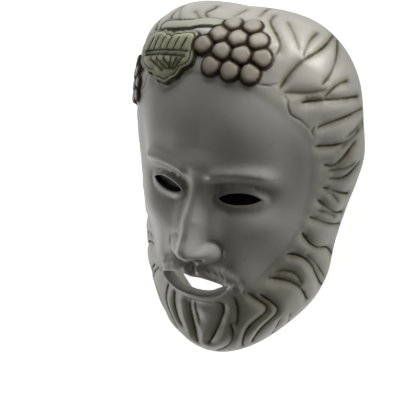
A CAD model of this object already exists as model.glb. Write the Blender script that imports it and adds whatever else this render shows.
"""A bearded face mask with a vine leaf and grapes, cast in one piece of ceramic, on a pale floor.

It lies face up on its rim. The shape is a smooth dome whose points are named on a flat disc: the middle of
the disc is the middle of the face and the edge of the disc is the rim. Everything carved is a height over the
dome. Lengths are in millimetres and angles in degrees, until the mesh is made in metres.
"""

import math

import bpy
import numpy as np
from mathutils import Matrix, Vector
from mathutils.geometry import delaunay_2d_cdt
from mathutils.kdtree import KDTree


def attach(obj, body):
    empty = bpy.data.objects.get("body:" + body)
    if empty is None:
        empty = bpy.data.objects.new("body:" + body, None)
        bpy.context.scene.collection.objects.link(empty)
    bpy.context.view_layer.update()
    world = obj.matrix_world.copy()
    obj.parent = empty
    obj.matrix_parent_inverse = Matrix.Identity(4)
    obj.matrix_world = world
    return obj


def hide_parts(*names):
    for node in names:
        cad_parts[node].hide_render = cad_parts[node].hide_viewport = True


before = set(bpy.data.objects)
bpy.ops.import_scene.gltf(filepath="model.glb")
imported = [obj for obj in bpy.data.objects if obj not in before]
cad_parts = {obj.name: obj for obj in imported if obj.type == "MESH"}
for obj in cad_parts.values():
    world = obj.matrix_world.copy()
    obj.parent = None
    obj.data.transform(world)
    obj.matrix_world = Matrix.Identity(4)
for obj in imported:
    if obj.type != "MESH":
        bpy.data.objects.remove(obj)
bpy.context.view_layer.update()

MM_PER_METRE = 1000

# the dome
HALF_WIDTH = 87.0
TAPER = 0.24
CROWN_Y = 143.0
BEARD_Y = -136.0
MID_Y = (CROWN_Y + BEARD_Y) / 2
HALF_HEIGHT = (CROWN_Y - BEARD_Y) / 2
DOME_DEPTH = 83.0
SIDE_ROUND = 1.78
CROWN_ROUND = 2.9
BEARD_ROUND = 3.4
CROWN_SQUARE = 2.6
BEARD_SQUARE = 2.25
DISC_MM = 165.0
WALL = 4.5
# the hollow keeps clear of the lowest carving within this reach
LOW_REACH = 6
# how wide the edges at rim and mouth are rounded
EDGE_ROUND = 0.9
# the middle of the cast mask's footprint, which is the part's origin
FOOTPRINT = np.array([0.0, 2.69, 0.0])

# the face
EYE_X = 31.5
EYE_Y = 18.0
EYE_HALF = 15.0
EYE_UP = 5.6
EYE_DOWN = 4.0
EYE_TILT = 0.05
EYE_SUNK = 3.0
# the black glaze starts this far inside the eye's outline
EYE_GLAZE_IN = 0.02
MOUTH_Y = -52.0
MOUTH_HALF = 25.0
MOUTH_UP = 6.0
MOUTH_DOWN = 9.5
LIP_HALF = 30.0
LIP_UP = 7.0
LIP_DOWN = 9.0
NOSE_HEIGHT = [
    (-42, 0.0), (-37, 1.5), (-33, 4.5), (-30, 10.5), (-27, 17.0), (-23.5, 20.4), (-19, 20.8),
    (-10, 18.0), (0, 14.0), (12, 8.6), (24, 4.4), (32, 3.4), (42, 3.0), (56, 0.0),
]
NOSE_WIDTH = [
    (-42, 9.0), (-30, 8.8), (-24, 9.6), (-18, 8.8), (-8, 7.4),
    (6, 6.6), (18, 6.4), (26, 7.6), (36, 12.0), (56, 22.0),
]
MOUSTACHE = [(2.5, -39.5), (12, -39.5), (22, -42.0), (30, -47.5), (34, -56.0)]
MOUSTACHE_RISE = 2.0
MOUSTACHE_HALF = 4.6
# Soft swellings and hollows: their height, their middle's x and y, their half width and half height, and how
# squarely they end where that is not the plain way.
NOSE_TIP = (2.2, 0.0, -21.5, 8.0, 7.0, 2.4)
NOSE_WING = (6.9, 12.4, -24.8, 6.3, 6.6, 2.7)
NOSE_SIDE = (4.6, 11.0, -7.0, 8.0, 20.0)
NOSTRIL = (-6.5, 6.6, -29.2, 3.6, 2.3, 2.6)
EYE_SOCKET = (-9.5, 30.5, 20.5, 20.5, 12.5, 2.8)
SOCKET_INNER = (-3.0, 14.5, 22, 6.5, 10)
MUZZLE = (4.6, 0, -50, 33, 21, 2.6)
CHIN_FOLD = (-2.2, 0, -74.0, 17, 4.5)
LIP_CORNER = (-2.0, 31.5, -52, 4.5, 5.0)
CHEEKBONE = (4.2, 46, -4, 19, 14)
CHEEK_FRONT = (2.4, 27, -16, 13, 16)
CHEEK_HOLLOW = (-2.6, 52, -38, 13, 17)
NOSE_CREASE = (-1.6, 24.5, -36, 5.5, 9)
TEMPLE = (-2.2, 64, 44, 11, 24)
FOREHEAD_SIDE = (2.2, 22, 72, 26, 22)
BROW_MIDDLE = (1.4, 0, 44, 13, 8)
# the fold round a nostril's wing: its middle, its radius, its half width and its depth
WING_FOLD_AT = (12.6, -25.0)
WING_FOLD_REACH = 9.0
WING_FOLD_HALF = 1.7
WING_FOLD_DEPTH = 1.6
# the eyeball under the lids, the lids' edge, the crease above and the fold below
BALL_RISE = 6.2
BALL_HALF_X = 20.5
BALL_HALF_Y = 12.0
BALL_UP = 0.4
LID_RISE = 1.5
CREASE_UP = 4.6
CREASE_DEPTH = 1.7
CREASE_HALF = 1.25
BAG_DOWN = 5.2
BAG_DEPTH = 0.9
BAG_HALF = 2.2
# the brows: where their line starts, its arch, and a broad ridge with a narrow one on it
BROW_Y = 33.5
BROW_ARCH = 6.0
BROW_SPAN = (6, 50)
BROW_RISE = 3.4
BROW_HALF = 6.5
BROW_HAIR_RISE = 1.1
BROW_HAIR_HALF = 3.2
# the lips: what is left of their reach at the corners, and how far each swells
LIP_LEAST = 1.6
UPPER_LIP_RISE = 3.4
LOWER_LIP_RISE = 4.2
# the groove between nose and lip with its two edges
FURROW_DEPTH = 1.3
FURROW_HALF = 2.8
FURROW_EDGE = 0.7
FURROW_EDGE_X = 5.4
FURROW_EDGE_HALF = 2.4

# the bare face's edge, as a share of the way from the middle of the disc to the rim, at compass angles
FACE_EDGE = [
    (-90, 0.37), (-72, 0.365), (-58, 0.37), (-44, 0.41), (-25, 0.51), (0, 0.60),
    (20, 0.625), (34, 0.60), (46, 0.555), (60, 0.53), (75, 0.545), (90, 0.55),
]
# how much fuller the hair is than its plain thickness, at compass angles
HAIR_FULL = [
    (-90, 0), (-72, -1.5), (-50, 1), (-38, 4), (-28, 3.5), (-14, -2), (-3, -1.5),
    (8, 2), (16, 4), (26, 1.5), (42, 2.5), (60, 2.5), (75, 0), (90, -2),
]
# the hair is flatter on the mask's right side, by these heights, away from the rim
FAR_FLAT = [(-30, 0), (-14, 1.5), (0, 2.5), (8, 4.5), (18, 6), (30, 6), (42, 3.5), (54, 0)]
HAIR_THICK = 5.0
# between these shares of the way to the rim that fullness comes in, then where the flatter side does:
# across the mask, on the way out, and back at the rim
FULL_FADE = (0.55, 0.95)
FLAT_ACROSS = (-20, -60)
FLAT_OUTWARD = (0.45, 0.65)
FLAT_AT_RIM = (1.0, 0.88)
BEARD_FULL = (3.0, 0, -100, 38, 24)
# the hair rises from the face in a short soft edge, then slowly
EDGE_SHARE = 0.12
EDGE_WIDE = 8.0
SLOW_WIDE = 44.0
LOCK_RISE = 1.4
LOCK_ROUND = 4.4
SCALLOP = 4.5
HAIRLINE_IN = 3.0
CARVING_FADE = (-2, 5)
RIM_FADE = 0.85
RIM_FADE_SPAN = (0.9, 1.0)
GROOVE_DEPTH = 0.5
GROOVE_HALF = 0.9
STROKE_DEPTH = 0.45
STROKE_HALF = 0.55
SIDE_SHIFT = 1.6

# Carved lock lines. Each has the compass angle and the share of the way to the rim where it starts, the share
# where it ends, how far it leans, bellies and snakes on the way, and its weight. These come on both sides.
SIDE_LOCKS = [
    (54.5, 0.60, 1.0, 1, 0, 1, 1.0), (45, 0.755, 1.0, 9, -2, 0, 0.8), (41, 0.74, 0.92, 0, 1, 0, 0.9),
    (53, 0.60, 0.78, -10, -2, 0, 0.6), (45, 0.635, 0.97, -10, -1.5, 0, 1.0),
    (33, 0.665, 1.0, -2, -0.5, 0, 1.0),
    (25, 0.81, 1.0, 3, -0.5, 0, 0.7), (27, 0.635, 1.0, 0, -3.5, 0, 1.0), (22, 0.785, 0.95, 4, 0, 0, 0.6),
    (19, 0.685, 0.91, 4, -3, -1, 1.0), (16, 0.71, 0.90, 0, -1, 0, 0.6), (13, 0.72, 0.94, 3, -2.8, 0, 1.0),
    (10, 0.69, 0.94, -6, -0.7, 0, 1.0), (8, 0.74, 0.84, -6, 0, 0, 0.5), (6, 0.665, 0.96, -9, -2.5, 0, 0.9),
    (1, 0.675, 0.87, -5, 0.5, 0, 0.6), (-1, 0.63, 0.98, -7, -1, 0, 0.9), (-7, 0.61, 1.0, -13, -1, -1.5, 1.0),
    (-17.5, 0.56, 1.0, -14, 3.5, 1, 1.0), (-16, 0.68, 1.0, -13, 1, 0, 0.7),
    (-27, 0.535, 0.76, -1, 3.5, 0, 0.7),
    (-30, 0.515, 0.89, -5, 4.5, 0, 1.0), (-39, 0.79, 0.90, -8, 0, 0, 0.6), (-42, 0.75, 0.86, -12, 0, 0, 0.7),
]
# These come once, over the crown and on the chin.
MIDDLE_LOCKS = [
    (64.5, 0.70, 0.95, 11, 0, -2, 0.9), (58, 0.785, 0.92, 12, 0, 0, 0.5), (56, 0.77, 0.95, 3, 1, 0, 0.7),
    (80, 0.89, 0.99, 1, 0, 0, 0.7), (99, 0.835, 0.96, 2, 2, 1, 0.9), (102, 0.82, 0.89, 6, 0, 0, 0.5),
    (115, 0.81, 1.0, 4, 0, 1, 0.7), (111.5, 0.81, 1.0, 6.5, 0, 0, 0.5), (90, 0.87, 0.97, -2, 0, 0, 0.5),
    (-94, 0.37, 0.49, 7, 1, 0, 0.5), (-51, 0.385, 0.545, -8, 3, 0, 0.9), (-61, 0.50, 0.735, -23, 6, 0, 0.9),
]
# Curls also swell and dip in their reach. The first two come on both sides, the rest once.
CURLS = [
    (-38, 0.51, 0.765, -23, 6, 1, 0.06, 0.05), (-42, 0.44, 0.755, -24, 7.5, 2, 0.02, 0.07),
    (-81, 0.335, 0.625, -3, 19, 4, -0.035, 0), (-95, 0.295, 0.57, -7, -19, -3, 0, -0.02),
    (-93, 0.315, 0.64, 1, -4, -2.5, -0.025, 0), (-125, 0.365, 0.70, 18, -4, -2.5, 0.02, 0.03),
]
PAIRED_CURLS = 2
# short strokes along the hairline at the temple, each a run of compass angles and shares, on both sides
HAIRLINE = [
    [(65, 0.565), (62, 0.573), (59, 0.588), (57, 0.62)],
    [(51, 0.60), (49, 0.60), (47, 0.583), (44, 0.575), (42, 0.585), (40, 0.60), (35, 0.63)],
    [(31, 0.645), (33, 0.64), (34, 0.662)],
]
LOCK_STEPS = 60
# over how far a lock line and its wash fade in at their ends
DEPTH_FADE = 7.0
DARK_FADE = 3.5

# The fine strokes: how many corners each has, how many there are in a brow or half a moustache, how deep they
# are cut and how dark, and for the brow where the first starts, how far apart they lie and how far each runs.
STROKE_CORNERS = 9
BROW_STROKES = 13
BROW_FIRST = 11
BROW_APART = 3.3
BROW_RUN = 7.5
BROW_CUT = 0.75
BROW_DARK = 0.34
MOUSTACHE_STROKES = 10
MOUSTACHE_CUT = 0.8
MOUSTACHE_DARK = 0.42
HAIRLINE_CUT = 0.7
HAIRLINE_DARK = 0.8

# the grapes, the leaf and the stem
GRAPE = 7.6
GRAPE_RISE = 3.0
GRAPE_SHOULDER = 4.0
# how many grapes each row has, from the crown down, and how far it is shifted, as a share of their pitch
GRAPE_ROWS = [(2, -0.06), (3, -0.04), (4, -0.17), (3, -0.05)]
PITCH = 15.0
ROW_PITCH = 12.0
CLUSTER_UP = 1.3
# the rows lift towards the leaf by this much at the far end of this stretch
CLUSTER_LIFT = 5.5
LIFT_FROM = 4
LIFT_OVER = 29
# the ground that grapes, leaf and stem lie on: its own height and its share of the hair's
BED = 1.2
BED_SHARE = 0.5
BED_EDGE = (3.0, -1.0)
# where each cluster and the leaf lie: compass angle, share of the way to the rim, turn, and a cluster's size
CLUSTERS = [(80.5, 0.682, 0.0, 1.0), (144.0, 0.72, 28.0, 0.74)]
LEAF_AT = (115.5, 0.65, 28.0)
LEAF_RISE = 2.2
# how far the leaf's edge lies from its middle, at angles from its tip
LEAF_EDGE = [
    (-180, 15.0), (-157, 21.0), (-125, 29.0), (-98, 29.0), (-75, 25.5), (-42, 20.5), (-18, 23.5), (0, 25.0),
    (18, 25.0), (42, 24.5), (64, 28.0), (84, 26.5), (107, 28.0), (125, 20.0), (155, 14.0), (180, 15.0),
]
LEAF_BORDER = 3.2
BORDER_DEPTH = 0.5
BORDER_HALF = 0.7
VEIN_DEPTH = 0.6
VEIN_HALF = 0.75
LEAF_CUP = 0.9
CUP_WIDE = 7.0
# the leaf's edge seldom runs square to the line to its middle, so distances to it are a little shorter
LEAF_SLANT = 0.9
STEM = [(118, 0.80), (111, 0.782), (105, 0.782), (101, 0.798), (96, 0.806), (90.5, 0.806)]
STEM_RISE = 1.8
STEM_HALF = 4.6

# the fine surface: the rim's length, how close the corners lie, and how many there are in each loop
RIM_LENGTH = 780
RIM_STEP = 1.5
LINE_STEP = 1.1
RING_STEP = 1.1
HAIR_STEP = 1.7
NOSE_STEP = 1.2
BACK_STEP = 3.6
MOUTH_CORNERS = 132
EYE_CORNERS = 84
EYE_RING_CORNERS = 72
LEAF_CORNERS = 190
# loops of corners: shares of the way to the rim, and distances from the edges of mouth, eyes, leaf and stem
RIM_RINGS = (0.99640035, 0.9919008, 0.9859014)
MOUTH_RINGS = (0.5, 1.1, 2.0)
EYE_RINGS = (-1.1, 0.5, 1.2, 2.0, 3.0)
EYE_FLOOR = -0.45
LEAF_RINGS = (0.0, 0.7, -0.7, 0.7 - LEAF_BORDER, -LEAF_BORDER, -LEAF_BORDER - 0.7, 1.6)
STEM_RUNS = (STEM_HALF, -STEM_HALF, 0, 1.6, -1.6, 2.6, -2.6, 3.6, -3.6)
VEIN_SIDES = (0.7, -0.7)
LOCK_SIDES = (0.6, -0.6, 1.4, -1.4)
STROKE_SIDES = (0.55, -0.55)
GRAPE_RINGS = (0.93, 0.8, 0.6, 0.35)
GRAPE_OUTER = 1.09
BACK_RIM_RINGS = (0.99, 0.975, 0.955)
BACK_MOUTH_RINGS = (1.4, 3.2)
# the least room that each kind of corner keeps from those before it
EDGE_ROOM = 0.3
GRAPE_ROOM = 0.25
LEAF_ROOM = 0.35
VEIN_ROOM = 0.4
LOCK_ROOM = 0.45
STROKE_ROOM = 0.5
DOME_ROOM = 0.6
BACK_RIM_ROOM = 1.6
BACK_MOUTH_ROOM = 1.2
# the room that the corners of the plain fill keep, as a share of their own spacing
HAIR_FILL = 0.72
NOSE_FILL = 0.75
BACK_FILL = 0.7
# the nose and mouth, where the fill is finer
FINE_PATCH = (1, 0, -18, 24, 32, 6)
# how near the rim lines and other corners come, as shares of the way to it
RUN_LIMIT = 0.995
SCATTER_LIMIT = 0.997
# hair lines stop this far from grapes, leaf and stem
BARE_MARGIN = 0.8
# a distance that stands for far away
FAR = 99.0

chance = np.random.default_rng(11)


# small tools for shapes


def hill(x, y, cx, cy, sx, sy, power=2.0):
    """1 at (cx, cy), falling away over sx and sy, the more steeply the higher the power."""
    return np.exp(-(np.hypot((x - cx) / sx, (y - cy) / sy) ** power))


def step(lo, hi, v):
    """0 up to lo, 1 from hi on and smooth between; lo may be the greater one."""
    t = np.clip((v - lo) / (hi - lo), 0, 1)
    return t * t * (3 - 2 * t)


def through(points, v):
    """A smooth curve through (at, value) points, read at v."""
    at, value = np.array(points, float).T
    slope = np.gradient(value, at)
    i = np.clip(np.searchsorted(at, v) - 1, 0, len(at) - 2)
    h = at[i + 1] - at[i]
    t = np.clip((v - at[i]) / h, 0, 1)
    return (
        (1 + 2 * t) * (1 - t) ** 2 * value[i]
        + t * (1 - t) ** 2 * h * slope[i]
        + t * t * (3 - 2 * t) * value[i + 1]
        + t * t * (t - 1) * h * slope[i + 1]
    )


def polar(angle, r):
    a = np.radians(angle)
    return np.stack([r * np.cos(a), r * np.sin(a)], -1)


def polar_path(row, count):
    """Evenly many disc points between each two of a row of (angle, share of the way to the rim)."""
    at = np.linspace(0, len(row) - 1, count)
    angle, r = np.array(row).T
    k = np.arange(len(row))
    return polar(np.interp(at, k, angle), np.interp(at, k, r))


# the dome


def rim_reach(c, s):
    """How far the rim's outline reaches along a direction, in half-widths and half-heights."""
    n = np.where(s > 0, CROWN_SQUARE, BEARD_SQUARE)
    return (np.abs(c) ** n + np.abs(s) ** n + 1e-300) ** (-1 / n)


def face_to_disc(x, y):
    eta = (y - MID_Y) / HALF_HEIGHT
    xi = x / (HALF_WIDTH * (1 + TAPER * eta))
    d = np.maximum(np.hypot(xi, eta), 1e-9)
    c, s = xi / d, eta / d
    r = np.arcsin(np.minimum(d / rim_reach(c, s), 1)) / (math.pi / 2)
    return np.stack([r * c, r * s], -1)


def base_point(p):
    r = np.maximum(np.hypot(p[:, 0], p[:, 1]), 1e-9)
    c, s = p[:, 0] / r, p[:, 1] / r
    rho = np.sin(np.minimum(r, 1) * math.pi / 2)
    reach = rim_reach(c, s)
    xi, eta = rho * reach * c, rho * reach * s
    upright = np.where(s > 0, CROWN_ROUND, BEARD_ROUND)
    power = np.maximum(SIDE_ROUND * c**2 + upright * s**2, 1)
    z = DOME_DEPTH * np.maximum(1 - rho**power, 0) ** (1 / power)
    return np.stack([HALF_WIDTH * (1 + TAPER * eta) * xi, MID_Y + HALF_HEIGHT * eta, z], -1)


def dome_slopes(p):
    e = 1e-3
    r = np.hypot(p[:, 0], p[:, 1])
    q = p * np.minimum(1, (1 - 2 * e) / np.maximum(r, 1e-9))[:, None]
    du = base_point(q + [e, 0]) - base_point(q - [e, 0])
    dv = base_point(q + [0, e]) - base_point(q - [0, e])
    return du / (2 * e), dv / (2 * e)


def base_normal(p):
    n = np.cross(*dome_slopes(p))
    return n / np.linalg.norm(n, axis=1)[:, None]


def beside(path, mm):
    """The same path on the disc, moved sideways over the dome."""
    du, dv = dome_slopes(path)
    along = np.gradient(path, axis=0)
    side = np.cross(base_normal(path), du * along[:, :1] + dv * along[:, 1:])
    side /= np.linalg.norm(side, axis=1)[:, None]
    a, b, c = (du * du).sum(1), (du * dv).sum(1), (dv * dv).sum(1)
    f, g = (du * side).sum(1), (dv * side).sum(1)
    det = a * c - b * b
    return path + np.stack([(c * f - b * g) / det, (a * g - b * f) / det], -1) * mm


# the face, as heights over the dome at x and y


def eye_up(s):
    return EYE_UP * np.maximum(1 - np.abs(s) ** 2.2, 0) ** 0.85


def eye_down(s):
    return EYE_DOWN * np.maximum(1 - np.abs(s) ** 2.4, 0) ** 0.85


def eye_within(x, y):
    """How deep inside an eye's outline a point lies, in millimetres; negative outside."""
    s = (np.abs(x) - EYE_X) / EYE_HALF
    inside = np.clip(s, -1, 1)
    tilt = EYE_TILT * inside * EYE_HALF
    top, bottom = EYE_Y + eye_up(inside) + tilt, EYE_Y - eye_down(inside) + tilt
    end = np.maximum(np.abs(s) - 1, 0) * EYE_HALF
    out = np.hypot(np.maximum(np.maximum(y - top, bottom - y), 0), end)
    return np.where((end > 0) | (y > top) | (y < bottom), -out, np.minimum(top - y, y - bottom))


def eye_loop(side, grow=0.0, count=EYE_CORNERS):
    a = np.linspace(0, 2 * math.pi, count, endpoint=False)
    s = np.cos(a)
    y = np.where(np.sin(a) > 0, eye_up(s), -eye_down(s))
    y += grow * np.sin(a) + EYE_TILT * s * EYE_HALF
    return face_to_disc(side * (EYE_X + (EYE_HALF + grow * 1.3) * s), EYE_Y + y)


def mouth_up(x):
    s = np.clip(np.abs(x) / MOUTH_HALF, 0, 1)
    return MOUTH_Y + (MOUTH_UP - np.exp(-((x / 5) ** 2))) * (1 - s**2.4) ** 0.75


def mouth_down(x):
    s = np.clip(np.abs(x) / MOUTH_HALF, 0, 1)
    return MOUTH_Y - MOUTH_DOWN * (1 - s**2.4) ** 0.75


def mouth_loop(grow=0.0, count=MOUTH_CORNERS):
    a = np.linspace(0, 2 * math.pi, count, endpoint=False)
    x = MOUTH_HALF * np.cos(a)
    y = np.where(np.sin(a) > 0, mouth_up(x), mouth_down(x))
    return face_to_disc(x + grow * np.cos(a), y + grow * np.sin(a))


def swelling(shape, x, y):
    """The height at x and y of one of the soft swellings and hollows named above."""
    height, *rest = shape
    return height * hill(x, y, *rest)


def nose(x, y):
    ax = np.abs(x)
    ridge = through(NOSE_HEIGHT, y) * np.exp(-((ax / through(NOSE_WIDTH, y)) ** 2.5))
    wings = swelling(NOSE_WING, ax, y) * (1 - 0.55 * np.exp(-((ax / 7.5) ** 2)))
    at_x, at_y = WING_FOLD_AT
    ring = (np.hypot(ax - at_x, (y - at_y) / 1.06) - WING_FOLD_REACH) / WING_FOLD_HALF
    fold = -WING_FOLD_DEPTH * np.exp(-(ring**2)) * step(10, 15, ax + 0.25 * (y - at_y))
    high = np.maximum(ridge, 0) + swelling(NOSE_TIP, ax, y) + wings + swelling(NOSE_SIDE, ax, y)
    return high + fold + swelling(NOSTRIL, ax, y)


def eyes(x, y):
    ax = np.abs(x)
    socket = swelling(EYE_SOCKET, ax, y) + swelling(SOCKET_INNER, ax, y)
    off = ((ax - EYE_X) / BALL_HALF_X) ** 2, ((y - EYE_Y - BALL_UP) / BALL_HALF_Y) ** 2
    ball = BALL_RISE * np.maximum(1 - off[0] - off[1], 0) ** 0.75
    s = (ax - EYE_X) / EYE_HALF
    within = eye_within(x, y)
    inside = np.clip(s, -1, 1)
    middle = EYE_Y + (eye_up(inside) - eye_down(inside)) / 2 + EYE_TILT * inside * EYE_HALF
    upper = step(-1.0, 1.5, y - middle)
    lid = LID_RISE * np.exp(-((np.maximum(-within - 1.2, 0) / 1.5) ** 2)) * (0.55 + 0.45 * upper)
    crease_y = EYE_Y + eye_up(np.clip(s * 0.9, -1, 1)) + CREASE_UP
    crease = -CREASE_DEPTH * np.exp(-(((y - crease_y) / CREASE_HALF) ** 2))
    crease = crease * step(1.25, 0.85, np.abs(s + 0.02)) * upper
    bag_y = EYE_Y - eye_down(np.clip(s * 0.85, -1, 1)) - BAG_DOWN
    bag = -BAG_DEPTH * np.exp(-(((y - bag_y) / BAG_HALF) ** 2)) * step(1.2, 0.6, np.abs(s)) * (1 - upper)
    return socket + ball + lid + crease + bag - EYE_SUNK * step(0.1, 0.7, within)


def brow_line(ax):
    first, span = BROW_SPAN
    return BROW_Y + BROW_ARCH * np.sin(np.clip((ax - first) / span, 0, 1) * math.pi * 0.86)


def brows(x, y):
    ax = np.abs(x)
    off = y - brow_line(ax)
    ridge = BROW_RISE * np.exp(-((off / BROW_HALF) ** 2)) * step(4, 14, ax) * step(60, 46, ax)
    hair = BROW_HAIR_RISE * np.exp(-(((off - 0.5) / BROW_HAIR_HALF) ** 2))
    return ridge + hair * step(8, 14, ax) * step(54, 46, ax)


def lips(x, y):
    s = np.clip(np.abs(x) / LIP_HALF, 0, 1)
    bow = 1 - 0.16 * np.exp(-((x / 3.6) ** 2)) + 0.06 * np.exp(-(((np.abs(x) - 6) / 4) ** 2))
    up_reach = LIP_LEAST + (LIP_UP - LIP_LEAST) * (1 - s**2) ** 0.7 * bow
    down_reach = LIP_LEAST + (LIP_DOWN - LIP_LEAST) * (1 - s**2) ** 0.7

    def swell(h):
        return np.sin(math.pi * np.clip(0.3 + 0.7 * h, 0, 1)) ** 0.9

    up = np.where(y > MOUTH_Y, swell((y - mouth_up(x)) / up_reach), 0)
    down = np.where(y <= MOUTH_Y, swell((mouth_down(x) - y) / down_reach), 0)
    furrow = -FURROW_DEPTH * np.exp(-((x / FURROW_HALF) ** 2))
    furrow = furrow + FURROW_EDGE * np.exp(-(((np.abs(x) - FURROW_EDGE_X) / FURROW_EDGE_HALF) ** 2))
    furrow *= step(-44.5, -41, y) * step(-32, -36, y)
    fade = step(1.04, 0.86, np.abs(x) / LIP_HALF)
    high = swelling(MUZZLE, x, y) + fade * (UPPER_LIP_RISE * up + LOWER_LIP_RISE * down)
    return high + swelling(CHIN_FOLD, x, y) + furrow + swelling(LIP_CORNER, np.abs(x), y)


def cheeks(x, y):
    ax = np.abs(x)
    forms = (CHEEKBONE, CHEEK_FRONT, CHEEK_HOLLOW, NOSE_CREASE, TEMPLE, FOREHEAD_SIDE, BROW_MIDDLE)
    return sum(swelling(form, ax, y) for form in forms)


def moustache(x, y):
    ax = np.abs(x)
    best = np.full(ax.shape, 1e9)
    along = np.zeros(ax.shape)
    for i, ((x0, y0), (x1, y1)) in enumerate(zip(MOUSTACHE, MOUSTACHE[1:])):
        t = ((ax - x0) * (x1 - x0) + (y - y0) * (y1 - y0)) / ((x1 - x0) ** 2 + (y1 - y0) ** 2)
        t = np.clip(t, 0, 1)
        d = np.hypot(ax - x0 - t * (x1 - x0), y - y0 - t * (y1 - y0))
        along = np.where(d < best, (i + t) / (len(MOUSTACHE) - 1), along)
        best = np.minimum(best, d)
    half = MOUSTACHE_HALF * (0.55 + 0.45 * np.sin(math.pi * np.clip(along, 0, 1)))
    return MOUSTACHE_RISE * np.maximum(1 - (best / half) ** 2, 0) ** 1.2


# the carved lines of hair, beard, moustache and brows


def lock_path(at, start, end, lean, belly, snake, swell=0.0, dip=0.0):
    """One lock's line from the hairline towards the rim, on the mask's left side."""
    t = np.linspace(0, 1, LOCK_STEPS + 1)
    one, two = np.sin(math.pi * t), np.sin(2 * math.pi * t)
    angle = at + lean * t + belly * one + snake * two
    return polar(angle, start + (end - start) * t + swell * one + dip * two)


def lock_rows():
    """Every lock line: its path and its weight."""
    rows = []
    paired = [(row[:-1], row[-1]) for row in SIDE_LOCKS] + [(row, 1.0) for row in CURLS[:PAIRED_CURLS]]
    for (at, *rest), weight in paired:
        rows.append((lock_path(at, *rest), weight))
        rows.append((lock_path(at + SIDE_SHIFT, *rest) * [-1, 1], weight))
    rows += [(lock_path(*row[:-1]), row[-1]) for row in MIDDLE_LOCKS]
    rows += [(lock_path(*row), 1.0) for row in CURLS[PAIRED_CURLS:]]
    return rows


def along_dome(path):
    """How far each point of a path lies along it, over the dome."""
    steps = np.linalg.norm(np.diff(base_point(path), axis=0), axis=1)
    return np.concatenate([[0], np.cumsum(steps)])


def lock_lines():
    """The lock lines with how deep and how dark each is. Those that reach the rim don't fade out there."""
    lines = []
    for path, weight in lock_rows():
        along = along_dome(path)
        to_end = along[-1] - along if np.hypot(*path[-1]) < 0.975 else FAR
        reach = np.minimum(along, to_end)
        depth = weight * np.clip(reach / DEPTH_FADE + 0.2, 0, 1)
        dark = weight**0.6 * (0.88 + 0.12 * np.sin(chance.uniform(0, 6) + 9 * along / along[-1]))
        lines.append((path, depth, dark * np.clip(reach / DARK_FADE + 0.1, 0, 1)))
    return lines


def brow_stroke(i):
    """One of the brow's strokes on the mask's left side, low towards the nose and rising outwards."""
    t = np.linspace(0, 1, STROKE_CORNERS)
    start = BROW_FIRST + BROW_APART * i
    y = brow_line(start) - 2.2 + (4.6 - 0.36 * i) * t + 0.6 * math.sin(5 * i)
    return start + BROW_RUN * t, y


def moustache_stroke(i):
    """One of the moustache's strokes on the mask's left side, leaning more the further out it lies."""
    t = np.linspace(0, 1, STROKE_CORNERS)
    share = i / (MOUSTACHE_STROKES - 1)
    x, y = (through(list(enumerate(row)), share * (len(MOUSTACHE) - 1)) for row in zip(*MOUSTACHE))
    return x - 1.2 + (4.0 + 1.5 * share) * t, y + 2.8 - (2.6 + 4.8 * share) * t - 1.0 * t**2


def stroke_lines():
    """The fine strokes of the brows, the moustache and the hairline, with how deep and how dark each is."""
    ends = np.sin(math.pi * np.clip(np.linspace(0, 1, STROKE_CORNERS) * 0.9 + 0.1, 0, 1)) ** 0.6
    lines = []
    for side in (1, -1):
        for i in range(BROW_STROKES):
            x, y = brow_stroke(i)
            lines.append((face_to_disc(side * x, y), BROW_CUT * ends, BROW_DARK * ends))
        for i in range(MOUSTACHE_STROKES):
            x, y = moustache_stroke(i)
            lines.append((face_to_disc(side * x, y), MOUSTACHE_CUT * ends, MOUSTACHE_DARK * ends))
        for row in HAIRLINE:
            path = polar_path(row, 8 * len(row))
            thin = np.sin(math.pi * np.linspace(0.08, 0.92, len(path))) ** 0.5
            lines.append((path * [side, 1], HAIRLINE_CUT * thin, HAIRLINE_DARK * thin))
    return lines


class Carved:
    """Lines carved into the dome: how far a point is from them, and how deep and how dark they are there."""

    NEAR_MM = 25.0
    BLEND_MM = 1.2

    def __init__(self, lines):
        self.lines = [(base_point(path), depth, dark) for path, depth, dark in lines]

    def __call__(self, b):
        gap = np.full(len(b), FAR)
        share = np.full(len(b), 1e-12)
        depth = share.copy()
        dark = share.copy()
        for points, line_depth, line_dark in self.lines:
            lo, hi = points.min(0) - self.NEAR_MM, points.max(0) + self.NEAR_MM
            near = np.flatnonzero(((b > lo) & (b < hi)).all(1))
            if not len(near):
                continue
            run = np.diff(points, axis=0)
            off = b[near, None] - points[:-1]
            t = np.clip((off * run).sum(2) / (run * run).sum(1), 0, 1)
            d = np.linalg.norm(off - t[..., None] * run, axis=2)
            k = d.argmin(1)
            rows = np.arange(len(near))
            d, t = d[rows, k], t[rows, k]
            mine = np.exp(-d / self.BLEND_MM)
            gap[near] = np.minimum(gap[near], d)
            share[near] += mine
            depth[near] += mine * (line_depth[k] * (1 - t) + line_depth[k + 1] * t)
            dark[near] += mine * (line_dark[k] * (1 - t) + line_dark[k + 1] * t)
        return gap, depth / share, dark / share


# grapes, leaf and stem


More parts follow.
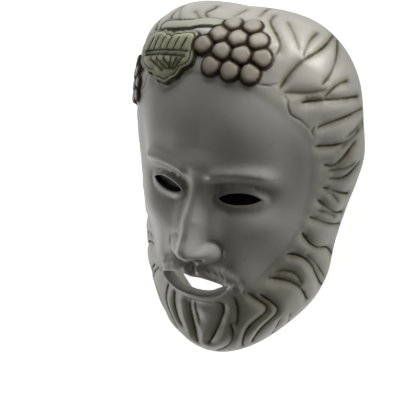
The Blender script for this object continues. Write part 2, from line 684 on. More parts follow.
class Sheet:
    """A flat sheet laid on the dome at a disc point, with its own across and up in millimetres."""

    def __init__(self, angle, r, turn=0.0):
        self.p = polar(angle, r)
        self.at = base_point(self.p[None])[0]
        normal = base_normal(self.p[None])[0]
        up = np.array([0, 1.0, 0]) - normal * normal[1]
        up /= np.linalg.norm(up)
        across = np.cross(up, normal)
        c, s = math.cos(math.radians(turn)), math.sin(math.radians(turn))
        self.across, self.up = across * c + up * s, up * c - across * s

    def read(self, b):
        v = b - self.at
        u, w = v @ self.across, v @ self.up
        k = np.linalg.norm(v, axis=1) / np.maximum(np.hypot(u, w), 1e-9)
        return u * k, w * k

    def disc(self, u, v):
        """The disc points that lie at (u, v) on the sheet, found by a few corrected steps."""
        p = np.repeat(self.p[None], len(u), 0)
        e = 1e-3
        for _ in range(12):
            f = self.read(base_point(p))
            fx = self.read(base_point(p + [e, 0]))
            fy = self.read(base_point(p + [0, e]))
            a, b, c, d = (fx[0] - f[0]) / e, (fy[0] - f[0]) / e, (fx[1] - f[1]) / e, (fy[1] - f[1]) / e
            det = a * d - b * c
            du, dv = u - f[0], v - f[1]
            p = p + np.stack([(du * d - dv * b) / det, (dv * a - du * c) / det], -1)
        return p


cluster_sheets = [(Sheet(angle, r, turn), size) for angle, r, turn, size in CLUSTERS]
leaf_sheet = Sheet(*LEAF_AT)


def grape_centres(size):
    """Where the grapes of a cluster sit on its sheet. The rows lift a little towards the leaf."""
    out = []
    for row, (count, shift) in enumerate(GRAPE_ROWS):
        for i in range(count):
            u = (i - (count - 1) / 2 + shift) * PITCH
            lift = CLUSTER_LIFT * (min(u - LIFT_FROM, 0) / LIFT_OVER) ** 2
            v = (1.5 - row) * ROW_PITCH + CLUSTER_UP + lift
            out.append((u * size, v * size))
    return out


grape_tones = chance.uniform(0, 1, (len(CLUSTERS), sum(count for count, _ in GRAPE_ROWS)))


def grapes(b):
    """Height of the grapes, how far past the nearest grape's edge each point lies, and that grape's own tone.

    Where two grapes press together, the edge between them is straight, halfway between their middles.
    """
    high = np.zeros(len(b))
    past = np.full(len(b), FAR)
    tone = np.zeros(len(b))
    for c, (sheet, size) in enumerate(cluster_sheets):
        u, v = sheet.read(b)
        gaps = np.array([np.hypot(u - cu, v - cv) for cu, cv in grape_centres(size)])
        first, second = np.partition(gaps, 1, axis=0)[:2]
        out = np.maximum(first - GRAPE * size, (first - second) / 2)
        s = np.clip(-out / GRAPE_SHOULDER, 0, 1)
        high = np.maximum(high, GRAPE_RISE * size * np.sqrt(1 - (1 - s) ** 2))
        tone = np.where(out < past, grape_tones[c][gaps.argmin(0)], tone)
        past = np.minimum(past, out)
    return high, past, tone


def leaf_edge(theta):
    """Reach of the leaf's edge, in mm, at an angle from its tip."""
    return through(LEAF_EDGE, np.degrees(theta)) + 0.45 * np.cos(13 * theta)


def leaf_lines():
    """The lines cut in the leaf, on its sheet: a double band across, strokes above, nested lines below."""
    runs = [((-23 + k, -5.0 + 3.3 * k), (20 - 2 * k, 5.5 + 3.3 * k)) for k in (0, 1)]
    for i in range(6):
        x = -17 + 6.4 * i
        runs.append(((x, 0.24 * x - 1.5), (x + 3.5, 0.24 * x - 8.5)))
    for i in range(3):
        runs.append(((-14.5 + 7 * i, 3.5 + 1.6 * i), (-1.5 + 3.6 * i, 15.5 - 0.6 * i)))
        runs.append(((16.5 - 5 * i, 9.5 - 0.6 * i), (9.5 - 2.5 * i, 16.5 - 0.4 * i)))
    return [(np.array([u0, -v0]), np.array([u1, -v1])) for (u0, v0), (u1, v1) in runs]


def leaf(b):
    """Height of the leaf, how far past its edge each point lies, and the distance to its nearest line."""
    u, v = leaf_sheet.read(b)
    past = (np.hypot(u, v) - leaf_edge(np.arctan2(u, -v))) * LEAF_SLANT
    vein = np.full(len(b), FAR)
    here = np.flatnonzero(past < 3)
    q = np.stack([u[here], v[here]], -1)
    for start, end in leaf_lines():
        run = end - start
        t = np.clip((q - start) @ run / (run @ run), 0, 1)
        vein[here] = np.minimum(vein[here], np.linalg.norm(q - start - t[:, None] * run, axis=1))
    border = BORDER_DEPTH * np.exp(-(((past + LEAF_BORDER) / BORDER_HALF) ** 2))
    cup = LEAF_CUP * np.clip(-past / CUP_WIDE, 0, 1)
    cut = VEIN_DEPTH * np.exp(-((vein / VEIN_HALF) ** 2))
    return step(0.8, -0.8, past) * (LEAF_RISE + cup - cut - border), past, vein


stem_line = polar_path(STEM, 8 * (len(STEM) - 1) + 1)
stem_gap = Carved([(stem_line, np.ones(len(stem_line)), np.ones(len(stem_line)))])
lock_set = lock_lines()
stroke_set = stroke_lines()
locks = Carved(lock_set)
strokes = Carved(stroke_set)


# everything together


def surface(p):
    """Height over the dome at disc points, with the masks and distances that the finishes use."""
    b = base_point(p)
    x, y = b[:, 0], b[:, 1]
    r = np.hypot(p[:, 0], p[:, 1])
    up = np.degrees(np.arcsin(np.clip(p[:, 1] / np.maximum(r, 1e-9), -1, 1)))
    lock_gap, lock_depth, lock_dark = locks(b)
    stroke_gap, stroke_depth, stroke_dark = strokes(b)
    valley = np.exp(-((lock_gap / LOCK_ROUND) ** 2))
    inland = (r - through(FACE_EDGE, up)) * DISC_MM + SCALLOP * (1 - valley * lock_depth)
    inland = inland - HAIRLINE_IN
    cover = EDGE_SHARE * step(-2, EDGE_WIDE, inland) + (1 - EDGE_SHARE) * step(0, SLOW_WIDE, inland)
    full = through(HAIR_FULL, up) * step(*FULL_FADE, r) + swelling(BEARD_FULL, x, y)
    flat = through(FAR_FLAT, up) * step(*FLAT_ACROSS, x) * step(*FLAT_OUTWARD, r) * step(*FLAT_AT_RIM, r)
    full = full - flat
    hair_cover = step(*CARVING_FADE, inland)
    carving = hair_cover * lock_depth * (1 - RIM_FADE * step(*RIM_FADE_SPAN, r))
    groove = GROOVE_DEPTH * np.exp(-((lock_gap / GROOVE_HALF) ** 2))
    stroke = STROKE_DEPTH * stroke_depth * np.exp(-((stroke_gap / STROKE_HALF) ** 2))
    hair_high = cover * (HAIR_THICK + full)
    thick = hair_high - carving * (LOCK_RISE * valley + groove) - stroke
    bed = BED + BED_SHARE * hair_high
    grape_high, grape_past, grape_tone = grapes(b)
    leaf_high, leaf_past, vein_gap = leaf(b)
    stem_past = stem_gap(b)[0] - STEM_HALF
    stem_high = STEM_RISE * np.sqrt(np.maximum(1 - ((stem_past + STEM_HALF) / STEM_HALF) ** 4, 0))
    on = step(*BED_EDGE, np.minimum(np.minimum(grape_past, leaf_past), stem_past))
    ground = thick * (1 - on) + bed * on
    top = np.maximum(np.maximum(grape_high, leaf_high), stem_high)
    lift = step(0, 1.5, top)
    carved = np.where(top > 0, np.maximum(ground * (1 - lift) + bed * lift + top, 0), ground)
    face = nose(x, y) + eyes(x, y) + brows(x, y) + lips(x, y) + cheeks(x, y) + moustache(x, y)
    return face + carved, {
        "hair_cover": hair_cover * (1 - on),
        "lock_gap": lock_gap,
        "lock_dark": lock_dark * step(-3, 0, inland) * (1 - on),
        "stroke_gap": stroke_gap,
        "stroke_dark": stroke_dark * (1 - on),
        "lock_crest": step(0, 6, inland) * (1 - valley),
        "hairline_gap": np.abs(inland - 0.5),
        "grape_past": grape_past,
        "grape_tone": grape_tone,
        "leaf_past": leaf_past,
        "vein_gap": vein_gap,
        "stem_past": stem_past,
        "eye_within": eye_within(x, y),
    }


def placed(p, height):
    return base_point(p) + base_normal(p) * height[:, None]


# the corners of the fine surface, on the disc


class Corners:
    """Disc points with the edges that have to run between some of them.

    Later points keep clear of earlier ones.
    """

    def __init__(self):
        self.points = np.zeros((0, 2))
        self.edges = []

    def loop(self, points):
        first = len(self.points)
        self.points = np.concatenate([self.points, points])
        count = len(points)
        self.edges += [(first + i, first + (i + 1) % count) for i in range(count)]
        return list(range(first, first + count))

    def clear(self, points, mm):
        """Which points lie at least that far, on the disc, from every point so far."""
        tree = KDTree(len(self.points))
        for i, (x, y) in enumerate(self.points):
            tree.insert((x, y, 0), i)
        tree.balance()
        return np.array([tree.find((x, y, 0))[2] for x, y in points]) * DISC_MM > mm

    def runs(self, paths, apart, closed=False):
        """Paths whose own edges are kept, wherever their points are clear of what is there."""
        for path in paths:
            keep = (np.hypot(*path.T) < RUN_LIMIT) & self.clear(path, apart)
            first = len(self.points)
            index = first + np.cumsum(keep) - 1
            self.points = np.concatenate([self.points, path[keep]])
            follows = np.roll(keep, -1)
            follows[-1] &= closed
            both = np.flatnonzero(keep & follows)
            self.edges += [(int(index[i]), int(index[(i + 1) % len(path)])) for i in both]

    def scatter(self, points, apart):
        points = points[np.hypot(*points.T) < SCATTER_LIMIT]
        self.points = np.concatenate([self.points, points[self.clear(points, apart)]])


def honeycomb(spacing):
    """Disc points in a honeycomb, that many millimetres apart."""
    s = spacing / DISC_MM
    rows = np.arange(-1, 1, s * math.sqrt(3) / 2)
    across = np.arange(-1, 1, s)
    x = across[None] + (np.arange(len(rows)) % 2)[:, None] * s / 2
    points = np.stack([x.ravel(), np.repeat(rows, len(across))], -1)
    return points[np.hypot(*points.T) < 1]


def within(loop, points):
    """Which points lie inside a closed loop."""
    x, y = points.T
    inside = np.zeros(len(points), bool)
    for (x0, y0), (x1, y1) in zip(loop, np.roll(loop, -1, axis=0)):
        if y0 != y1:
            inside ^= ((y0 > y) != (y1 > y)) & (x < (x1 - x0) * (y - y0) / (y1 - y0) + x0)
    return inside


def even(path, step_mm):
    """The same open path with its points an even distance apart over the dome."""
    at = along_dome(path)
    to = np.linspace(0, at[-1], max(int(at[-1] / step_mm), 2) + 1)
    return np.stack([np.interp(to, at, path[:, 0]), np.interp(to, at, path[:, 1])], -1)


def ring(sheet, cu, cv, radius, step_mm):
    """Disc points in a circle on a sheet."""
    count = max(int(2 * math.pi * radius / step_mm), 6)
    a = np.linspace(0, 2 * math.pi, count, endpoint=False)
    return sheet.disc(cu + radius * np.cos(a), cv + radius * np.sin(a))


def rim_loop(r=1.0):
    count = int(RIM_LENGTH / RIM_STEP)
    return polar(np.linspace(0, 360, count, endpoint=False), r)


def ornament_past(b):
    """How far past the nearest edge of leaf, grapes or stem a point of the dome lies."""
    return np.minimum(np.minimum(grapes(b)[1], leaf(b)[1]), stem_gap(b)[0] - STEM_HALF)


def bare_paths(lines):
    """The lines' paths, evenly cut, where no grape, leaf or stem covers them."""
    paths = [even(path, LINE_STEP) for path, _, _ in lines]
    paths = [path[ornament_past(base_point(path)) > BARE_MARGIN] for path in paths]
    return [path for path in paths if len(path) > 2]


def both_sides(c, paths, distances, room):
    """Corners beside each path, at those distances from it."""
    for mm in distances:
        for path in paths:
            c.scatter(beside(path, mm), room)


def opening_corners(c):
    """Corners along the rim, the mouth and the eyes; the rim's and mouth's own come back."""
    rim = c.loop(rim_loop())
    mouth = c.loop(mouth_loop())
    for side in (1, -1):
        c.loop(eye_loop(side))
        c.loop(eye_loop(side, EYE_FLOOR))
    for r in RIM_RINGS:
        c.scatter(rim_loop(r), EDGE_ROOM)
    for grow in MOUTH_RINGS:
        c.scatter(mouth_loop(grow), EDGE_ROOM)
    for side in (1, -1):
        for grow in EYE_RINGS:
            c.scatter(eye_loop(side, grow, EYE_RING_CORNERS), EDGE_ROOM)
    return rim, mouth


def ornament_corners(c):
    """Corners along the edges of grapes, leaf and stem and the leaf's lines."""
    for sheet, size in cluster_sheets:
        for cu, cv in grape_centres(size):
            c.runs([ring(sheet, cu, cv, GRAPE * size, RING_STEP * 0.8)], GRAPE_ROOM, closed=True)
    theta = np.linspace(-math.pi, math.pi, LEAF_CORNERS, endpoint=False)
    for grow in LEAF_RINGS:
        reach = leaf_edge(theta) + grow / LEAF_SLANT
        c.runs([leaf_sheet.disc(reach * np.sin(theta), -reach * np.cos(theta))], LEAF_ROOM)
    for start, end in leaf_lines():
        t = np.linspace(0, 1, max(int(np.linalg.norm(end - start) / 0.9), 3))[:, None]
        u, v = (start + (end - start) * t).T
        vein = leaf_sheet.disc(u, v)
        c.runs([vein], VEIN_ROOM)
        both_sides(c, [vein], VEIN_SIDES, VEIN_ROOM)
    stem = even(stem_line, 1.0)
    c.runs([beside(stem, mm) for mm in STEM_RUNS], LEAF_ROOM)


def grape_domes(c):
    """Corners over each grape, and one ring just outside it."""
    for sheet, size in cluster_sheets:
        for cu, cv in grape_centres(size):
            for share in GRAPE_RINGS:
                c.scatter(ring(sheet, cu, cv, GRAPE * size * share, RING_STEP), DOME_ROOM)
            c.scatter(sheet.disc(np.array([cu]), np.array([cv])), DOME_ROOM)
            c.scatter(ring(sheet, cu, cv, GRAPE * size * GRAPE_OUTER, RING_STEP), DOME_ROOM)


def front_corners():
    c = Corners()
    rim, mouth = opening_corners(c)
    ornament_corners(c)
    bare_locks = bare_paths(lock_set)
    c.runs(bare_locks, LOCK_ROOM)
    bare_strokes = bare_paths(stroke_set)
    c.runs(bare_strokes, STROKE_ROOM)
    both_sides(c, bare_locks, LOCK_SIDES, LOCK_ROOM)
    both_sides(c, bare_strokes, STROKE_SIDES, LOCK_ROOM)
    grape_domes(c)
    fill = honeycomb(NOSE_STEP)
    x, y, _ = base_point(fill).T
    c.scatter(fill[swelling(FINE_PATCH, x, y) > 0.4], NOSE_STEP * NOSE_FILL)
    c.scatter(honeycomb(HAIR_STEP), HAIR_STEP * HAIR_FILL)
    return c, rim, mouth


def back_corners():
    c = Corners()
    rim = c.loop(rim_loop())
    mouth = c.loop(mouth_loop())
    for r in BACK_RIM_RINGS:
        c.scatter(rim_loop(r), BACK_RIM_ROOM)
    for grow in BACK_MOUTH_RINGS:
        c.scatter(mouth_loop(grow), BACK_MOUTH_ROOM)
    c.scatter(honeycomb(BACK_STEP), BACK_STEP * BACK_FILL)
    return c, rim, mouth


def meshed(corners, rim, mouth):
    """Triangles over the corners, open at the mouth, with the rim's and mouth's corners in order."""
    hole = corners.points[mouth]
    points = corners.points
    keep = ~within(hole, points)
    keep[rim + mouth] = True
    new = np.cumsum(keep) - 1
    edges = [(int(new[a]), int(new[b])) for a, b in corners.edges if keep[a] and keep[b]]
    verts, _, faces, origin, _, _ = delaunay_2d_cdt([Vector(p) for p in points[keep]], edges, [], 0, 1e-8)
    found = {}
    for i, sources in enumerate(origin):
        for s in sources:
            found[s] = i
    p = np.array([tuple(v) for v in verts])
    f = np.array([tuple(face) for face in faces])
    middle = p[f].mean(1)
    f = f[~within(hole, middle)]
    return p, f, [found[int(new[i])] for i in rim], [found[int(new[i])] for i in mouth]


def front_height(p):
    """The carved height, eased over the rim's and the mouth's edges, and what the finishes need."""
    height, marks = surface(p)
    b = base_point(p)
    loop = base_point(mouth_loop(0, 2 * MOUTH_CORNERS))
    mouth_gap = np.full(len(p), FAR)
    here = np.flatnonzero(hill(b[:, 0], b[:, 1], 0, MOUTH_Y, 34, 20, 8) > 0.01)
    mouth_gap[here] = np.linalg.norm(b[here, None] - loop[None], axis=2).min(1)
    for gap in (b[:, 2], mouth_gap):
        t = np.clip(1 - gap / EDGE_ROUND, 0, 1)
        height = height - EDGE_ROUND * (1 - np.sqrt(1 - t * t))
    return height, marks


def back_height(p):
    """The hollow keeps a wall's distance from the lowest carving nearby."""
    low = surface(p)[0]
    for k in range(8):
        q = p + polar(45 * k, LOW_REACH / DISC_MM)
        q /= np.maximum(np.hypot(*q.T), 1)[:, None]
        low = np.minimum(low, surface(q)[0])
    return low - WALL


# the finishes' places in the mesh's list, and what the marks say on the back, which has none of the carving
BODY, GRAPES, LEAF, EYES, BACK = range(5)
RESTING = {
    name: FAR
    for name in ("lock_gap", "stroke_gap", "hairline_gap", "grape_past", "leaf_past", "vein_gap", "stem_past")
}
RESTING["eye_within"] = -FAR


def front_kinds(f, marks):
    """Which finish each triangle of the front takes, read at its middle."""
    names = ("leaf_past", "grape_past", "eye_within")
    leaf_past, grape_past, eye_depth = (marks[name][f].mean(1) for name in names)
    kinds = np.full(len(f), BODY)
    kinds[grape_past < 0] = GRAPES
    kinds[(leaf_past < 0) & (grape_past > 0)] = LEAF
    kinds[eye_depth > EYE_GLAZE_IN] = EYES
    return kinds.tolist()


def onward(loop):
    """The same closed row of corners, starting one further on."""
    return loop[1:] + loop[:1]


def cast_mask():
    """The whole mask: the carved front, the plain hollow behind it, and the wall's edge at rim and mouth."""
    p, f, rim, mouth = meshed(*front_corners())
    height, marks = front_height(p)
    front = placed(p, height)
    front[rim, 2] = 0
    q, g, back_rim, back_mouth = meshed(*back_corners())
    back = placed(q, back_height(q))
    back[back_rim, 2] = 0
    first = len(front)
    back_rim, back_mouth = ([first + i for i in loop] for loop in (back_rim, back_mouth))
    parts = [
        (f.tolist(), front_kinds(f, marks)),
        ((g[:, ::-1] + first).tolist(), [BACK] * len(g)),
        (zip(rim, back_rim, onward(back_rim), onward(rim)), [BACK] * len(rim)),
        (zip(mouth, onward(mouth), onward(back_mouth), back_mouth), [BODY] * len(mouth)),
    ]
    faces = [face for some, _ in parts for face in some]
    kinds = [kind for _, some in parts for kind in some]
    mesh = bpy.data.meshes.new("mask_cast")
    mesh.from_pydata(((np.concatenate([front, back]) - FOOTPRINT) / MM_PER_METRE).tolist(), [], faces)
    mesh.update()
    for name, values in marks.items():
        everywhere = np.concatenate([values, np.full(len(back), RESTING.get(name, 0.0))]).astype(np.float32)
        mesh.attributes.new(name, "FLOAT", "POINT").data.foreach_set("value", everywhere)
    mesh.polygons.foreach_set("use_smooth", np.ones(len(faces), bool))
    mesh.polygons.foreach_set("material_index", np.array(kinds, np.int32))
    crisp = {*rim, *back_rim, *back_mouth}
    sharp = [all(v in crisp for v in e.vertices) for e in mesh.edges]
    mesh.attributes.new("sharp_edge", "BOOLEAN", "EDGE").data.foreach_set("value", sharp)
    mesh.update()
    return mesh


# nodes


class Tree:
    """A node tree, with short ways to add its nodes."""

    def __init__(self, tree):
        self.tree = tree
        tree.nodes.clear()
        self.made = 0

    def node(self, kind, inputs=None, **settings):
        node = self.tree.nodes.new(kind)
        node.location = (190 * (self.made % 10), -280 * (self.made // 10))
        self.made += 1
        for key, value in settings.items():
            setattr(node, key, value)
        for key, value in (inputs or {}).items():
            self.feed(node.inputs[key], value)
        return node

    def feed(self, socket, value):
        if isinstance(value, bpy.types.NodeSocket):
            self.tree.links.new(value, socket)
        else:
            socket.default_value = value

    def math(self, operation, a, b=0.0):
        return self.node("ShaderNodeMath", {0: a, 1: b}, operation=operation).outputs[0]

    def fade(self, value, start, end, first=0.0, last=1.0):
        """first up to start, last from end on, and a smooth change between."""
        numbers = {"Value": value, "From Min": start, "From Max": end, "To Min": first, "To Max": last}
        return self.node("ShaderNodeMapRange", numbers, interpolation_type="SMOOTHSTEP").outputs["Result"]

    def mix(self, share, a, b, blend="MIX"):
        node = self.node("ShaderNodeMix", data_type="RGBA", blend_type=blend)
        for socket, value in zip((node.inputs[0], node.inputs[6], node.inputs[7]), (share, a, b)):
            self.feed(socket, value)
        return node.outputs[2]

    def noise(self, scale, detail):
        place = self.node("ShaderNodeTexCoord").outputs["Object"]
        settings = {"Vector": place, "Scale": scale, "Detail": detail, "Roughness": 0.55}
        return self.node("ShaderNodeTexNoise", settings).outputs["Fac"]

    def mark(self, name):
        return self.node("ShaderNodeAttribute", attribute_name=name, attribute_type="GEOMETRY").outputs["Fac"]

    def use(self, group, inputs):
        node = self.node("ShaderNodeGroup", node_tree=group)
        for key, value in inputs.items():
            self.feed(node.inputs[key], value)
        return node.outputs


def group(name, inputs, outputs):
    """A node group with named inputs (kind, resting value) and outputs, its nodes and its input values."""
    tree = bpy.data.node_groups.new(name, "ShaderNodeTree")
    for label, (kind, value) in inputs.items():
        tree.interface.new_socket(label, in_out="INPUT", socket_type=kind).default_value = value
    for label, kind in outputs.items():
        tree.interface.new_socket(label, in_out="OUTPUT", socket_type=kind)
    nodes = Tree(tree)
    return tree, nodes, nodes.node("NodeGroupInput").outputs


COLOR = "NodeSocketColor"
NUMBER = "NodeSocketFloat"
# how fine each unevenness of the finishes is, in repeats to the metre
BROAD_CLOUDS = 17.0
MOTTLING = 150.0
SPECK_GRAIN = 700.0
FINE_GRAIN = 260.0
SOFT_WAVES = 60.0
RAGGED_EDGE = 420.0
PATCHY_WASH = 95.0
UNEVEN_CREST = 70.0
HAIRLINE_PATCHES = 38.0
LEAF_PATCHES = 55.0
CLAY_STAINS = 22.0
SPECK_BROWN = (0.09, 0.075, 0.05, 1)


def wash_group():
    """Thin dark glaze that has run into a carved line, broken a little along its edges."""
    tree, n, given = group(
        "carved line wash",
        {
            "Color": (COLOR, (0.3, 0.3, 0.3, 1)),
            "Wash": (COLOR, (0.04, 0.03, 0.02, 1)),
            "Gap": (NUMBER, FAR),
            "Half Width": (NUMBER, 0.8),
            "Dark": (NUMBER, 1.0),
        },
        {"Color": COLOR},
    )
    ragged = n.math("MULTIPLY", n.math("SUBTRACT", n.noise(RAGGED_EDGE, 4.0), 0.5), given["Half Width"])
    gap = n.math("ADD", n.math("ABSOLUTE", given["Gap"]), ragged)
    start = n.math("MULTIPLY", given["Half Width"], 0.35)
    end = n.math("MULTIPLY", given["Half Width"], 1.55)
    patchy = n.fade(n.noise(PATCHY_WASH, 2.0), 0.3, 0.6, 0.82, 1.0)
    mask = n.math("MULTIPLY", n.fade(gap, start, end, 1.0, 0.0), n.math("MULTIPLY", given["Dark"], patchy))
    n.node("NodeGroupOutput", {"Color": n.mix(mask, given["Color"], given["Wash"])})
    return tree


def glaze_group():
    """The uneven tone of a thin satin glaze: broad clouds, small mottling and a few dark specks."""
    tree, n, given = group(
        "thin satin glaze",
        {
            "Color": (COLOR, (0.3, 0.3, 0.3, 1)),
            "Clouds": (NUMBER, 0.1),
            "Specks": (NUMBER, 0.5),
            "Roughness": (NUMBER, 0.42),
        },
        {"Color": COLOR, "Roughness": NUMBER, "Height": NUMBER},
    )
    broad = n.math("SUBTRACT", n.noise(BROAD_CLOUDS, 2.0), 0.5)
    small = n.math("SUBTRACT", n.noise(MOTTLING, 5.0), 0.5)
    tone = n.math("ADD", n.math("MULTIPLY", broad, 1.3), n.math("MULTIPLY", small, 0.55))
    tone = n.math("ADD", n.math("MULTIPLY", tone, given["Clouds"]), 1.0)
    level = n.node("ShaderNodeCombineColor", {"Red": tone, "Green": tone, "Blue": tone}).outputs[0]
    color = n.mix(1.0, given["Color"], level, "MULTIPLY")
    speck = n.math("MULTIPLY", n.fade(n.noise(SPECK_GRAIN, 1.0), 0.735, 0.79), given["Specks"])
    color = n.mix(speck, color, SPECK_BROWN)
    rough = n.math("ADD", given["Roughness"], n.math("MULTIPLY", small, 0.22))
    height = n.math("ADD", n.math("MULTIPLY", n.noise(FINE_GRAIN, 3.0), 0.6), n.noise(SOFT_WAVES, 2.0))
    n.node("NodeGroupOutput", {"Color": color, "Roughness": rough, "Height": height})
    return tree


def rubbed_group():
    """Paler ceramic where the glaze is thin over raised forms."""
    tree, n, given = group(
        "thin glaze on crests",
        {
            "Color": (COLOR, (0.3, 0.3, 0.3, 1)),
            "Pale": (COLOR, (0.5, 0.5, 0.5, 1)),
            "Crest": (NUMBER, 0.0),
            "Amount": (NUMBER, 0.3),
        },
        {"Color": COLOR},
    )
    uneven = n.fade(n.noise(UNEVEN_CREST, 4.0), 0.35, 0.65, 0.4, 1.0)
    mask = n.math("MULTIPLY", n.math("MULTIPLY", given["Crest"], uneven), given["Amount"])
    n.node("NodeGroupOutput", {"Color": n.mix(mask, given["Color"], given["Pale"])})
    return tree


wash = wash_group()
glaze = glaze_group()
rubbed = rubbed_group()

# the finishes

GREY = (0.292, 0.284, 0.258, 1)
HAIR_GREY = (0.296, 0.287, 0.246, 1)
BEARD_GREY = (0.242, 0.233, 0.182, 1)
PALE = (0.42, 0.41, 0.37, 1)
OLIVE_TINT = (0.15, 0.136, 0.068, 1)
OLIVE_SOFT = (0.075, 0.067, 0.035, 1)
OLIVE_DARK = (0.034, 0.029, 0.012, 1)
BROWN_DARK = (0.020, 0.013, 0.006, 1)
CREAM = (0.275, 0.262, 0.215, 1)
CREAM_BROWN = (0.225, 0.208, 0.165, 1)
GRAPE_BROWN = (0.115, 0.078, 0.04, 1)
LEAF_GREEN = (0.18, 0.184, 0.108, 1)
LEAF_PALE = (0.27, 0.282, 0.18, 1)
LEAF_DARK = (0.018, 0.019, 0.007, 1)
EYE_BLACK = (0.004, 0.004, 0.0045, 1)
BISQUE = (0.33, 0.315, 0.28, 1)
# half widths of the wash in and round the lines, in millimetres
LOCK_WASH = 1.15
LOCK_TINT = 3.0
HAIRLINE_TINT = 1.9
STROKE_WASH = 0.85
LEAF_EDGE_WASH = 1.3
LEAF_BORDER_WASH = 0.6
VEIN_WASH = 0.85
GRAPE_EDGE_WASH = 1.4
GRAPE_GAP_WASH = 1.5
# between these two levels of colour the finish goes from the dark wash, which is dull, to the full glaze
WASH_LEVEL = 0.03
GLAZE_LEVEL = 0.16
DULL_ROUGHNESS = 0.95
COAT_ROUGHNESS = 0.36
RELIEF_METRES = 0.0006


def finish(name, color_of, clouds, specks, rough, relief, shine, coat=0.0):
    """A glazed ceramic material; color_of(nodes) gives its colour before the glaze's own unevenness."""
    material = bpy.data.materials.new(name)
    material.use_nodes = True
    n = Tree(material.node_tree)
    over = n.use(glaze, {"Color": color_of(n), "Clouds": clouds, "Specks": specks, "Roughness": rough})
    bump = n.node("ShaderNodeBump", {"Strength": relief, "Distance": RELIEF_METRES, "Height": over["Height"]})
    shader = n.node(
        "ShaderNodeBsdfPrincipled",
        {"Base Color": over["Color"], "Roughness": over["Roughness"], "Normal": bump.outputs[0]},
    )
    shader.inputs["Specular IOR Level"].default_value = shine
    if coat:
        level = n.node("ShaderNodeRGBToBW", {"Color": over["Color"]}).outputs[0]
        dull = n.fade(level, WASH_LEVEL, GLAZE_LEVEL, DULL_ROUGHNESS, 0.0)
        n.feed(shader.inputs["Roughness"], n.math("MAXIMUM", over["Roughness"], dull))
        n.feed(shader.inputs["Coat Weight"], n.fade(level, WASH_LEVEL, GLAZE_LEVEL, 0.0, coat))
        shader.inputs["Coat Roughness"].default_value = COAT_ROUGHNESS
    n.node("ShaderNodeOutputMaterial", {"Surface": shader.outputs[0]})
    return material


def washed(n, color, dark_glaze, gap, half, dark=1.0):
    """The colour with dark glaze in and beside the line that lies at gap."""
    given = {"Color": color, "Wash": dark_glaze, "Gap": gap, "Half Width": half, "Dark": dark}
    return n.use(wash, given)["Color"]


def thinned(n, color, pale, crest, amount):
    """The colour with the paler one where crest is high."""
    return n.use(rubbed, {"Color": color, "Pale": pale, "Crest": crest, "Amount": amount})["Color"]


def outlined(n, color):
    """Dark brown round the grapes and olive round leaf and stem, on both sides of their edges."""
    color = washed(n, color, LEAF_DARK, n.mark("leaf_past"), LEAF_EDGE_WASH)
    stem = n.mark("stem_past")
    color = n.mix(n.fade(stem, -1.0, 0.0, 0.6, 0.0), color, LEAF_PALE)
    color = washed(n, color, LEAF_DARK, stem, LEAF_EDGE_WASH)
    return washed(n, color, BROWN_DARK, n.mark("grape_past"), GRAPE_EDGE_WASH)


def body_color(n):
    """Grey on the face, warmer in the hair, darker and warmer in the beard, with the lines' wash over it."""
    place = n.node("ShaderNodeTexCoord").outputs["Object"]
    up = n.node("ShaderNodeSeparateXYZ", {"Vector": place}).outputs["Y"]
    hair_or_beard = n.mix(n.fade(up, -0.06, 0.03), BEARD_GREY, HAIR_GREY)
    color = n.mix(n.mark("hair_cover"), GREY, hair_or_beard)
    color = thinned(n, color, PALE, n.mark("lock_crest"), 0.3)
    gap, dark = n.mark("lock_gap"), n.mark("lock_dark")
    color = washed(n, color, OLIVE_TINT, gap, LOCK_TINT, n.math("MULTIPLY", dark, 0.7))
    patches = n.fade(n.noise(HAIRLINE_PATCHES, 3.0), 0.42, 0.6, 0.0, 0.45)
    color = washed(n, color, OLIVE_TINT, n.mark("hairline_gap"), HAIRLINE_TINT, patches)
    color = washed(n, color, OLIVE_SOFT, n.mark("stroke_gap"), STROKE_WASH, n.mark("stroke_dark"))
    return outlined(n, washed(n, color, OLIVE_DARK, gap, LOCK_WASH, dark))


def grape_color(n):
    past = n.mark("grape_past")
    color = n.mix(n.mark("grape_tone"), CREAM, CREAM_BROWN)
    color = n.mix(n.fade(past, -4.8, -0.8, 0.0, 0.75), color, GRAPE_BROWN)
    return washed(n, color, BROWN_DARK, past, GRAPE_GAP_WASH)


def leaf_color(n):
    vein = n.mark("vein_gap")
    border = n.math("ADD", n.mark("leaf_past"), LEAF_BORDER)
    color = n.mix(n.fade(n.noise(LEAF_PATCHES, 3.0), 0.35, 0.65), LEAF_GREEN, LEAF_PALE)
    color = thinned(n, color, LEAF_PALE, n.fade(vein, 1.0, 3.0), 0.4)
    color = washed(n, color, LEAF_DARK, border, LEAF_BORDER_WASH, 0.85)
    return outlined(n, washed(n, color, LEAF_DARK, vein, VEIN_WASH))


def eye_color(n):
    return n.mix(n.fade(n.mark("eye_within"), 0.0, 0.5), BROWN_DARK, EYE_BLACK)


def back_color(n):
    return n.mix(n.fade(n.noise(CLAY_STAINS, 4.0), 0.4, 0.65, 0.0, 0.35), BISQUE, OLIVE_TINT)


# in the order of BODY, GRAPES, LEAF, EYES, BACK
finishes = [
    finish(
        "washed_grey_glaze", body_color,
        clouds=0.16, specks=0.5, rough=0.43, relief=0.12, shine=0.4, coat=0.28,
    ),
    finish(
        "cream_grape_glaze", grape_color,
        clouds=0.2, specks=0.4, rough=0.42, relief=0.12, shine=0.3, coat=0.25,
    ),
    finish(
        "green_leaf_glaze", leaf_color,
        clouds=0.25, specks=0.3, rough=0.45, relief=0.15, shine=0.3, coat=0.25,
    ),
    finish(
        "black_eye_glaze", eye_color,
        clouds=0.1, specks=0.0, rough=0.5, relief=0.05, shine=0.12,
    ),
    finish(
        "bare_bisque_back", back_color,
        clouds=0.3, specks=0.8, rough=0.8, relief=0.5, shine=0.5,
    ),
]

# the mask

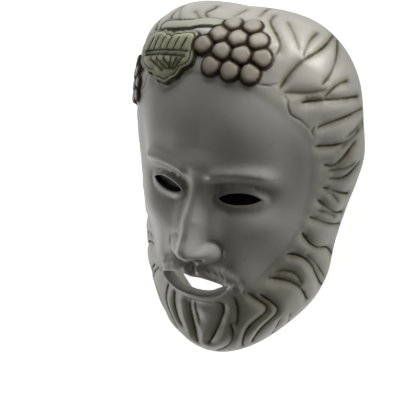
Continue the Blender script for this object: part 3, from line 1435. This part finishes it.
mask_mesh = cast_mask()
for material in finishes:
    mask_mesh.materials.append(material)
mask = bpy.data.objects.new("mask_cast", mask_mesh)
bpy.context.scene.collection.objects.link(mask)
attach(mask, "root")
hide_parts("mask")

# the floor, the light and the camera, in metres

FLOOR_HALF = 20.0
FLOOR_WHITE = (0.86, 0.86, 0.86, 1)
FLOOR_GLOW = 0.88
FLOOR_ROUGH = 0.9
MIDDLE = Vector((0, 0, 0.05))
# where each light stands, what it is turned towards, its width and height, and its power
LIGHTS = {
    "crown_light": ((-0.1, 1.2, 0.11), MIDDLE, (1.5, 0.2), 8.5),
    "low_glow": ((0.1, 0.62, 0.004), Vector((0.1, 0.62, 1.0)), (1.1, 0.6), 4.0),
    "near_glow": ((0.26, 0.32, 0.006), Vector((0.26, 0.32, 1.0)), (0.26, 0.22), 5.0),
    "beard_light": ((-0.8, -0.75, 0.55), MIDDLE, (0.8, 0.6), 7.0),
    "side_light": ((0.85, 0.4, 0.7), MIDDLE, (0.7, 0.7), 1.5),
}
SKY = 0.03
WHITE = (1, 1, 1, 1)


def lit_floor():
    mesh = bpy.data.meshes.new("floor")
    h = FLOOR_HALF
    mesh.from_pydata([(-h, -h, 0), (h, -h, 0), (h, h, 0), (-h, h, 0)], [], [(0, 1, 2, 3)])
    material = bpy.data.materials.new("pale_floor")
    material.use_nodes = True
    shader = material.node_tree.nodes["Principled BSDF"]
    shader.inputs["Base Color"].default_value = FLOOR_WHITE
    shader.inputs["Roughness"].default_value = FLOOR_ROUGH
    shader.inputs["Specular IOR Level"].default_value = 0.0
    shader.inputs["Emission Color"].default_value = WHITE
    shader.inputs["Emission Strength"].default_value = FLOOR_GLOW
    mesh.materials.append(material)
    floor = bpy.data.objects.new("floor", mesh)
    bpy.context.scene.collection.objects.link(floor)


def area_light(name, place, towards, size, power):
    light = bpy.data.lights.new(name, "AREA")
    light.shape = "RECTANGLE"
    light.size, light.size_y = size
    light.energy = power
    lamp = bpy.data.objects.new(name, light)
    bpy.context.scene.collection.objects.link(lamp)
    lamp.location = place
    lamp.rotation_euler = (towards - Vector(place)).to_track_quat("-Z", "Y").to_euler()


def pale_room():
    world = bpy.data.worlds.new("pale_room")
    bpy.context.scene.world = world
    world.use_nodes = True
    sky = world.node_tree.nodes["Background"]
    sky.inputs["Color"].default_value = WHITE
    sky.inputs["Strength"].default_value = SKY


# the camera: its angles, how far it stands off, and how large the mask is in the photograph's frame
AZIMUTH = 27.0
ELEVATION = 24.0
ROLL = 1.5
DISTANCE = 0.8
LOOK_AT = Vector((-0.00547, -0.01006, 0.05))
PIXELS_PER_MM = 1.27
PICTURE = 420
SENSOR = 36.0


def camera():
    """Looks down on the mask from its left side and its crown, as the photograph does."""
    az, el, roll = map(math.radians, (AZIMUTH, ELEVATION, ROLL))
    back = Vector((math.sin(az) * math.cos(el), math.sin(el), math.cos(az) * math.cos(el)))
    right = Vector((0, 1, 0)).cross(back).normalized()
    up = back.cross(right)
    right, up = right * math.cos(roll) + up * math.sin(roll), up * math.cos(roll) - right * math.sin(roll)
    lens = bpy.data.cameras.new("camera")
    lens.sensor_width = SENSOR
    lens.lens = SENSOR * PIXELS_PER_MM * DISTANCE * MM_PER_METRE / PICTURE
    eye = bpy.data.objects.new("camera", lens)
    bpy.context.scene.collection.objects.link(eye)
    frame_at = Matrix((right, up, back)).transposed().to_4x4()
    frame_at.translation = LOOK_AT + back * DISTANCE
    eye.matrix_world = frame_at
    bpy.context.scene.camera = eye


lit_floor()
for lamp_name, row in LIGHTS.items():
    area_light(lamp_name, *row)
pale_room()
camera()
bpy.context.scene.view_settings.view_transform = "Standard"
